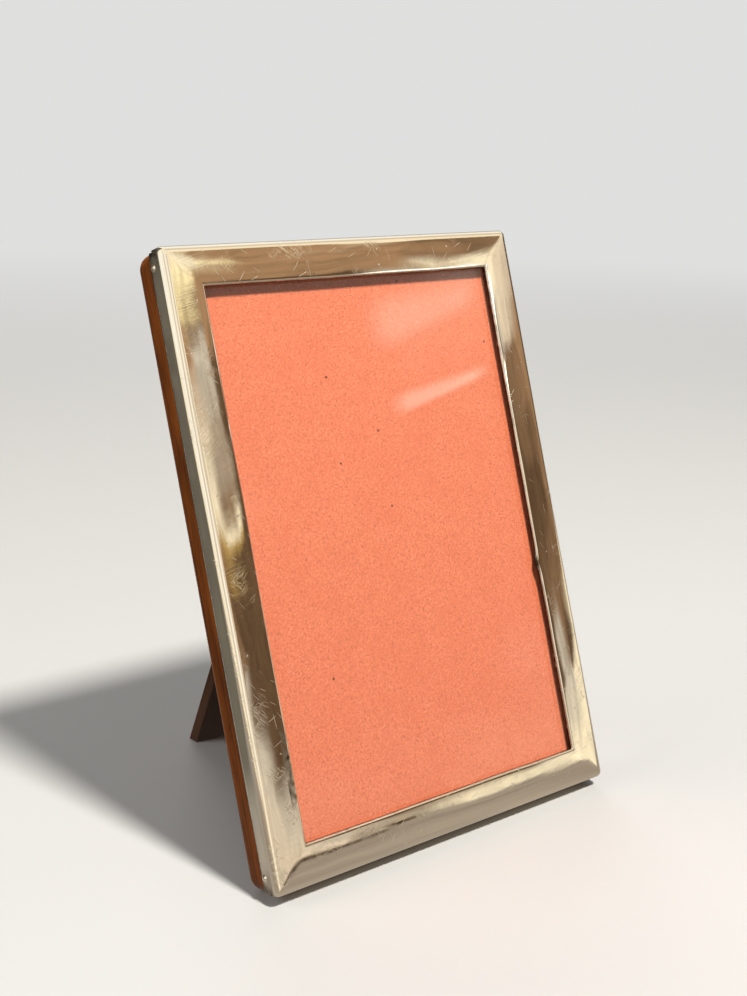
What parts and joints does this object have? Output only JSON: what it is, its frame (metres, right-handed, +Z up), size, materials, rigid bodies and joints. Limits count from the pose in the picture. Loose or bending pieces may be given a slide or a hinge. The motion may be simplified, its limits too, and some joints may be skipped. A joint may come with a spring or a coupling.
{
  "type": "easel back photo frame",
  "caption": "Upright rectangular photo frame with a cushioned sheet-silver border over wood, glass, a coral card and a hinged wooden strut behind that props it leaning back.",
  "frame": {"origin": "on the floor, under the middle of the standing frame's bounding box", "axes": "+Z up; the picture faces -Y and leans back towards +Y; +X to the right of someone facing the picture"},
  "size_m": [0.1076, 0.0916, 0.1447],
  "materials": {
    "silver": "polished silver",
    "stained_wood": "stained and waxed",
    "brass": "aged",
    "glass": "clear",
    "card": "matt fibrous",
    "greyboard": "raw"
  },
  "bodies": {
    "frame": {"silver_front": "silver", "skirt_pins": "silver", "wood_rail_left": "stained_wood", "wood_rail_right": "stained_wood", "wood_rail_top": "stained_wood", "wood_rail_bottom": "stained_wood", "glass_pane": "glass", "photo_card": "card", "packing_board": "greyboard", "back_panel": "stained_wood", "turn_button_screws": "brass", "strut_bracket": "brass", "bracket_screws": "brass", "strut_pin": "brass"},
    "strut": {"strut": "stained_wood"},
    "turn_button_lower_left": {"turn_button_lower_left": "brass"},
    "turn_button_lower_right": {"turn_button_lower_right": "brass"},
    "turn_button_upper_left": {"turn_button_upper_left": "brass"},
    "turn_button_upper_right": {"turn_button_upper_right": "brass"}
  },
  "joints": [
    {"name": "strut_hinge", "type": "hinge", "parent": "frame", "child": "strut", "pos_m": [0, 0.00782, 0.10955], "axis": [-1, 0, 0], "range_deg": [0, 37]},
    {"name": "turn_button_lower_left_swivel", "type": "hinge", "parent": "frame", "child": "turn_button_lower_left", "pos_m": [-0.04825, -0.02335, 0.03039], "axis": [0, 0.9455, -0.3256], "range_deg": [-90, 90]},
    {"name": "turn_button_lower_right_swivel", "type": "hinge", "parent": "frame", "child": "turn_button_lower_right", "pos_m": [0.04825, -0.02335, 0.03039], "axis": [0, 0.9455, -0.3256], "range_deg": [-90, 90]},
    {"name": "turn_button_upper_left_swivel", "type": "hinge", "parent": "frame", "child": "turn_button_upper_left", "pos_m": [-0.04825, 0.004, 0.10981], "axis": [0, 0.9455, -0.3256], "range_deg": [-90, 90]},
    {"name": "turn_button_upper_right_swivel", "type": "hinge", "parent": "frame", "child": "turn_button_upper_right", "pos_m": [0.04825, 0.004, 0.10981], "axis": [0, 0.9455, -0.3256], "range_deg": [-90, 90]}
  ]
}
